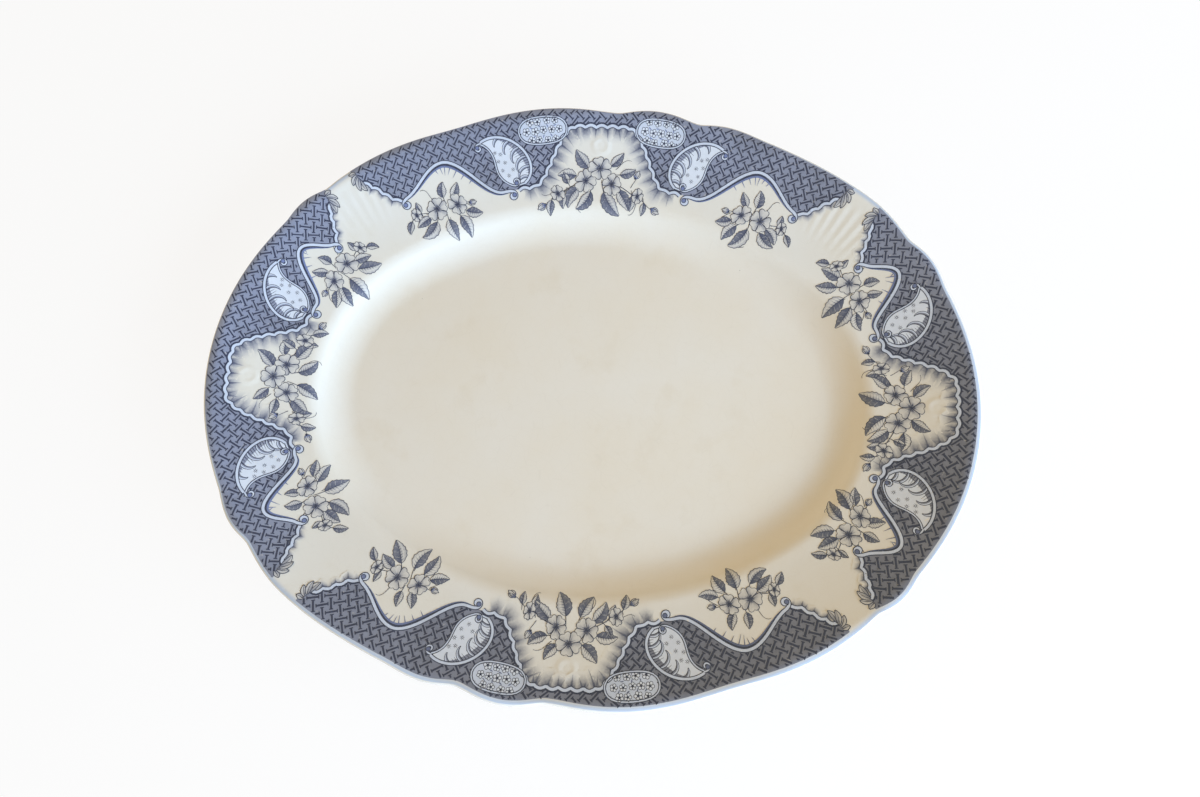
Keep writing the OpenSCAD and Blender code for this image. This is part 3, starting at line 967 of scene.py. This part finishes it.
def draw_spray(spray, parts):
    """A whole spray, from its stems up to its flowers"""
    for draw, places in zip((spray.stem, spray.leaf, spray.bud, spray.flower), parts):
        for place in places:
            draw(*place)
    return spray.sheet.finish()


def feed(tree, socket, value):
    """Links an input of a node to another node, or sets its value"""
    if isinstance(value, NodeSocket):
        tree.links.new(value, socket)
    else:
        socket.default_value = value


def node(tree, kind, inputs=None, **settings):
    """Adds a shader node with its settings and the values or links of its inputs"""
    made = tree.nodes.new("ShaderNode" + kind)
    for key, value in settings.items():
        setattr(made, key, value)
    for key, value in (inputs or {}).items():
        feed(tree, made.inputs[key], value)
    return made


def ranged(tree, value, low, high, first=0.0, last=1.0):
    """Turns the range from low to high into the range from first to last"""
    inputs = {"Value": value, "From Min": low, "From Max": high, "To Min": first, "To Max": last}
    return node(tree, "MapRange", inputs).outputs["Result"]


def worked(tree, operation, first, second, **settings):
    """Works out one value from two"""
    return node(tree, "Math", {0: first, 1: second}, operation=operation, **settings).outputs[0]


def along_way(tree, place, way):
    """How far a place lies along a direction"""
    return node(tree, "VectorMath", {0: place, 1: way}, operation="DOT_PRODUCT").outputs["Value"]


def blotches(tree, place, scale, detail, low, high, strength=None):
    """Noise stretched between two levels, from 0 to 1 or to a strength"""
    cloud = node(tree, "TexNoise", {"Vector": place, "Scale": scale, "Detail": detail, "Roughness": 0.6})
    spread = ranged(tree, cloud.outputs["Fac"], low, high)
    return worked(tree, "MULTIPLY", spread, strength) if strength else spread


def blend(tree, share, first, second, kind="MIX"):
    """Mixes two colours"""
    made = node(tree, "Mix", data_type="RGBA", blend_type=kind)
    for key, value in ((0, share), (6, first), (7, second)):
        feed(tree, made.inputs[key], value)
    return made.outputs[2]


def rgba(colour, level=1.0):
    return (*(min(1.0, c * level) for c in colour), 1.0)


def clay_under_glaze(tree, place, looks, bleed_and_lip_reflection=0.0):
    """Cream clay under clear glaze: clouded, stained, crazed, specked, blued by the print's bleed, and
    washed blue on the lip as a painted reflection of the cool window, together with glaze pooled blue at the
    edge
    """
    red, green, blue = looks.glaze_colour
    cream, warm = rgba(looks.glaze_colour), rgba((red * 0.985, green * 0.955, blue * 0.90))
    colour = blend(tree, blotches(tree, place, 14, 4, 0.35, 0.72), cream, warm)
    stain = blotches(tree, place, 38, 6, 0.58, 0.80, 0.35)
    colour = blend(tree, stain, colour, rgba((red * 0.88, green * 0.81, blue * 0.68)))
    colour = blend(tree, bleed_and_lip_reflection, colour, rgba((0.93, 0.955, 0.985)), "MULTIPLY")
    if isinstance(bleed_and_lip_reflection, NodeSocket):
        # A pale blue wash colours the lip, where the value runs on from 1 to 2: a painted reflection of the
        # cool window, together with glaze pooled blue there
        colour = blend(tree, ranged(tree, bleed_and_lip_reflection, 1.0, 2.0), colour, rgba((0.45, 0.52, 0.62)))
    cells = node(
        tree, "TexVoronoi", {"Vector": place, "Scale": 170.0, "Randomness": 1.0}, feature="DISTANCE_TO_EDGE")
    cracks = ranged(tree, cells.outputs["Distance"], 0.0, 0.022, 0.05, 0.0)
    colour = blend(tree, cracks, colour, rgba((0.36, 0.29, 0.20)))
    points = node(tree, "TexVoronoi", {"Vector": place, "Scale": 120.0}, feature="F1")
    sizes = node(tree, "SeparateColor", {"Color": points.outputs["Color"]})
    chosen = worked(tree, "GREATER_THAN", sizes.outputs["Red"], 0.93)
    speck = ranged(tree, points.outputs["Distance"], 0.02, 0.055, 0.6, 0.0)
    return blend(tree, worked(tree, "MULTIPLY", chosen, speck), colour, rgba((0.20, 0.16, 0.12)))


def glazed(name):
    """A new glazed material: its tree, its place on the piece and the input for its colour"""
    material = bpy.data.materials.new(name)
    material.use_nodes = True
    tree = material.node_tree
    place = node(tree, "TexCoord").outputs["Object"]
    ripple = node(tree, "TexNoise", {"Vector": place, "Scale": 130.0, "Detail": 2.0})
    bump = node(tree, "Bump", {"Height": ripple.outputs["Fac"], "Strength": 0.12, "Distance": 0.0006})
    shader = tree.nodes["Principled BSDF"].inputs
    for key, value in (
            ("IOR", 1.5), ("Coat Weight", 0.25), ("Coat Roughness", 0.05),
            ("Normal", bump.outputs["Normal"]),
            ("Roughness", ranged(tree, blotches(tree, place, 60, 3, 0.3, 0.7), 0.0, 1.0, 0.13, 0.24))):
        feed(tree, shader[key], value)
    return material, tree, place, shader["Base Color"]


def body_glaze(looks):
    """Clear glaze that is blue over the printed rim, with a painted reflection of the cool window on the lip
    """
    material, tree, place, base = glazed("clear glaze on cream clay")
    bleed_and_lip_reflection = node(tree, "Attribute", attribute_name="bleed_and_lip_reflection").outputs["Fac"]
    feed(tree, base, clay_under_glaze(tree, place, looks, bleed_and_lip_reflection))
    return material


def foot_glaze(looks):
    """Glaze that thins to bare biscuit where the foot is wiped"""
    material, tree, place, base = glazed("wiped foot")
    axes = node(tree, "SeparateXYZ", {"Vector": place})
    wobble = blotches(tree, place, 70, 3, 0.3, 0.7, 0.0012)
    bare = ranged(tree, worked(tree, "SUBTRACT", axes.outputs["Z"], wobble), 0.0, 0.0009, 1.0, 0.0)
    light, dark = rgba((0.52, 0.43, 0.31)), rgba((0.40, 0.31, 0.21))
    grit = blend(tree, blotches(tree, place, 900, 2, 0.35, 0.7), light, dark)
    feed(tree, base, blend(tree, bare, clay_under_glaze(tree, place, looks), grit))
    return material


def painted_shade_south_east(tree, place, colour):
    """Painted shade: the ink darkened and warmed towards the south-east, where the rim's light is dim and
    warm
    """
    far = along_way(tree, place, (cos(HEAVY_AND_SHADED_SIDE), sin(HEAVY_AND_SHADED_SIDE), 0.0))
    return blend(tree, ranged(tree, far, -0.05, 0.15), colour, rgba((0.72, 0.68, 0.60)), "MULTIPLY")


def ink_glaze(name, colour, looks, depth=0.35, run=0.12):
    """Printed ink under the glaze: uneven in strength, with pinholes where it took badly"""
    _, tree, place, base = glazed(name)
    strong, weak = rgba(colour, 1 - depth * 0.45), rgba(colour, 1 + depth * 0.55)
    shade = blend(tree, blotches(tree, place, 45, 5, 0.3, 0.7), strong, weak)
    shade = blend(tree, blotches(tree, place, 620, 2, 0.45, 0.75, 0.5), shade, rgba(colour, 1 + depth))
    # Painted shade: the ink darkens and warms towards the south-east
    shade = painted_shade_south_east(tree, place, shade) if depth > 0.2 else shade
    holes = blotches(tree, place, 420, 2, 0.66, 0.78, run * 3)
    feed(tree, base, blend(tree, holes, shade, clay_under_glaze(tree, place, looks)))


def shade_glaze(name, looks):
    """Stippled shading that fades out into the bare glaze"""
    _, tree, place, base = glazed(name)
    fade = node(tree, "Attribute", attribute_name="fade").outputs["Fac"]
    uneven = ranged(tree, blotches(tree, place, 800, 2, 0.3, 0.7), 0.0, 1.0, 0.75, 1.15)
    strength = worked(tree, "MULTIPLY", fade, uneven, use_clamp=True)
    bare = worked(tree, "POWER", worked(tree, "SUBTRACT", 1.0, strength), 2.2)
    deep = [(2 * a + 8 * b) / 10 for a, b in zip(looks.middle_colour, looks.ink_colour)]
    # Painted shade: the shading ink darkens and warms towards the south-east
    blue = painted_shade_south_east(tree, place, blend(tree, fade, rgba(looks.ground_colour, 1.1), rgba(deep)))
    feed(tree, base, blend(tree, bare, blue, clay_under_glaze(tree, place, looks, 1.0)))


def print_inks(looks):
    """The inks of every print, made once"""
    names = ("border ground", "dark line", "pale ribbon", "half tone", "fading shade", "palest tint")
    if names[GROUND] not in bpy.data.materials:
        ink_glaze(names[GROUND], looks.ground_colour, looks)
        ink_glaze(names[INK], looks.ink_colour, looks, 0.5, 0.05)
        ink_glaze(names[TINT], looks.tint_colour, looks, 0.16, 0.2)
        ink_glaze(names[MIDDLE], looks.middle_colour, looks, 0.5, 0.1)
        shade_glaze(names[SHADE], looks)
        ink_glaze(names[PALE], looks.pale_colour, looks, 0.10, 0.3)
    return [bpy.data.materials[name] for name in names]


class PLATTER_OT_body(Operator):
    """Makes the pressed and glazed body"""

    bl_idname = "platter.make_body"
    bl_label = "Body"

    def execute(self, context):
        scene = context.scene
        mesh = shape_body(Face(scene.platter_sizes), scene.platter_sizes)
        new_piece("platter_body", mesh, [body_glaze(scene.platter_prints)], "glazed_body", "body")
        return {"FINISHED"}


class PLATTER_OT_foot(Operator):
    """Makes the foot ring under the well"""

    bl_idname = "platter.make_foot"
    bl_label = "Foot ring"

    def execute(self, context):
        scene = context.scene
        mesh = shape_foot(Face(scene.platter_sizes))
        new_piece("platter_foot", mesh, [foot_glaze(scene.platter_prints)], "glazed_foot", "foot_ring")
        return {"FINISHED"}


class PLATTER_OT_borders(Operator):
    """Prints the four lengths of the border"""

    bl_idname = "platter.print_borders"
    bl_label = "Borders"

    def execute(self, context):
        looks = context.scene.platter_prints
        face, inks = Face(context.scene.platter_sizes), print_inks(looks)
        for seed, (side, degrees) in enumerate(SIDES.items()):
            mesh = draw_border(face, math.radians(degrees), looks, seed + 1)
            new_piece("border_" + side, mesh, inks, "print_ground", "border_print_" + side)
        return {"FINISHED"}


class PLATTER_OT_sprays(Operator):
    """Prints the large and the small flower sprays"""

    bl_idname = "platter.print_sprays"
    bl_label = "Flower sprays"

    def execute(self, context):
        looks = context.scene.platter_prints
        face, inks = Face(context.scene.platter_sizes), print_inks(looks)
        for seed, (side, degrees) in enumerate(SIDES.items()):
            spray = Spray(face, math.radians(degrees), LARGE_INSET, looks, (1, -1)[seed % 2], seed + 11)
            mesh = draw_spray(spray, LARGE_SPRAY)
            new_piece("spray_" + side, mesh, inks, "print_line", "spray_print_" + side)
        junction = math.degrees(face.junction)
        for kind, turn, way, first_seed in (
                ("side", 90 - (90 - junction) * SIDE_WAIST, -1, 51), ("end", junction * END_WAIST, 1, 31)):
            for seed, (corner, degrees, hand) in enumerate((
                    ("north_east", turn, 1), ("north_west", 180 - turn, -1),
                    ("south_west", 180 + turn, 1), ("south_east", -turn, -1))):
                spray = Spray(face, math.radians(degrees), SMALL_INSET, looks, hand * way, seed + first_seed)
                mesh = draw_spray(spray, SMALL_SPRAY)
                name = f"{corner}_{kind}"
                new_piece("spray_" + name, mesh, inks, "print_line", "spray_print_" + name)
        return {"FINISHED"}


class PLATTER_OT_stage(Operator):
    """Sets the floor, the soft lights and the camera"""

    bl_idname = "platter.set_stage"
    bl_label = "Stage"

    def execute(self, context):
        scene = context.scene
        scene.view_settings.view_transform = "Standard"
        self.floor()
        self.room(scene, scene.platter_stage)
        self.window(scene.platter_stage)
        self.camera(scene, scene.platter_stage)
        return {"FINISHED"}

    def seen_white(self, tree, lit, kind, share, end):
        """Shows a share of white to the rays that see the stage, straight or in the glaze"""
        path = node(tree, "LightPath").outputs
        seen = worked(tree, "MAXIMUM", path["Is Camera Ray"], path["Is Glossy Ray"])
        seen = worked(tree, "MAXIMUM", seen, path["Is Transmission Ray"])
        seen = worked(tree, "MULTIPLY", seen, share) if share < 1 else seen
        white = node(tree, kind, {"Color": WHITE, "Strength": 1.0})
        mix = node(tree, "MixShader", {0: seen, 1: lit.outputs[0], 2: white.outputs[0]})
        feed(tree, tree.nodes[end].inputs["Surface"], mix.outputs[0])

    def floor(self):
        mesh = bmesh.new()
        bmesh.ops.create_grid(mesh, x_segments=4, y_segments=4, size=4)
        data = bpy.data.meshes.new("floor")
        mesh.to_mesh(data)
        mesh.free()
        add_object("floor", data)
        material = bpy.data.materials.new("white floor")
        material.use_nodes = True
        tree = material.node_tree
        shader = tree.nodes["Principled BSDF"]
        shader.inputs["Base Color"].default_value = (0.86, 0.86, 0.86, 1)
        shader.inputs["Roughness"].default_value = 0.9
        shader.inputs["Specular IOR Level"].default_value = 0.0
        self.seen_white(tree, shader, "Emission", FLOOR_WHITE, "Material Output")
        data.materials.append(material)

    def room(self, scene, looks):
        world = bpy.data.worlds.new("room")
        world.use_nodes = True
        scene.world = world
        tree = world.node_tree
        ground = tree.nodes["Background"]
        far = along_way(tree, node(tree, "TexCoord").outputs["Generated"], (0.84, -0.54, 0.0))
        colour = blend(tree, ranged(tree, far, -0.3, 0.3), rgba(looks.room_warm), rgba(looks.room_cool))
        feed(tree, ground.inputs["Color"], colour)
        self.seen_white(tree, ground, "Background", 1, "World Output")

    def window(self, looks):
        lamp = bpy.data.lights.new("window", "AREA")
        lamp.shape, lamp.size, lamp.size_y = "RECTANGLE", 2.4, 1.1
        lamp.energy, lamp.color = looks.key_power, looks.key_colour
        window = add_object("window", lamp)
        window.location = WINDOW_PLACE
        window.visible_glossy = False
        window.rotation_euler = (-window.location).to_track_quat("-Z", "Y").to_euler()

    def camera(self, scene, looks):
        lens = bpy.data.cameras.new("camera")
        lens.lens, lens.sensor_width = looks.lens, 36
        lens.clip_start, lens.clip_end = 0.01, 20
        camera = add_object("camera", lens)
        scene.camera = camera
        back = Vector((math.tan(looks.lean_east), -math.tan(looks.lean_south), 1)).normalized()
        right = Vector((0, 1, 0)).cross(back).normalized()
        up = back.cross(right)
        c, s = cos(looks.roll), sin(looks.roll)
        turned = Matrix((c * right + s * up, c * up - s * right, back)).transposed().to_4x4()
        camera.matrix_world = Matrix.Translation(looks.camera_place) @ turned


class PLATTER_PT_panel(Panel):
    """Lists the sizes, looks and pieces of the platter"""

    bl_idname = "PLATTER_PT_panel"
    bl_label = "Oval meat platter"
    bl_space_type = "VIEW_3D"
    bl_region_type = "UI"
    bl_category = "Platter"

    def draw(self, context):
        scene = context.scene
        for group in (scene.platter_sizes, scene.platter_prints, scene.platter_stage):
            box = self.layout.box()
            for name in group.__annotations__:
                box.prop(group, name)
        for operator in STEPS:
            self.layout.operator(operator.bl_idname)


STEPS = (PLATTER_OT_body, PLATTER_OT_foot, PLATTER_OT_borders, PLATTER_OT_sprays, PLATTER_OT_stage)
CLASSES = (PlatterSizes, PrintLooks, StageLooks, *STEPS, PLATTER_PT_panel)


def register():
    for made in CLASSES:
        bpy.utils.register_class(made)
    bpy.types.Scene.platter_sizes = PointerProperty(type=PlatterSizes)
    bpy.types.Scene.platter_prints = PointerProperty(type=PrintLooks)
    bpy.types.Scene.platter_stage = PointerProperty(type=StageLooks)


def unregister():
    del bpy.types.Scene.platter_stage
    del bpy.types.Scene.platter_prints
    del bpy.types.Scene.platter_sizes
    for made in reversed(CLASSES):
        bpy.utils.unregister_class(made)


def main():
    register()
    bpy.ops.platter.make_body()
    bpy.ops.platter.make_foot()
    bpy.ops.platter.print_borders()
    bpy.ops.platter.print_sprays()
    bpy.ops.platter.set_stage()


if __name__ == "__main__":
    main()
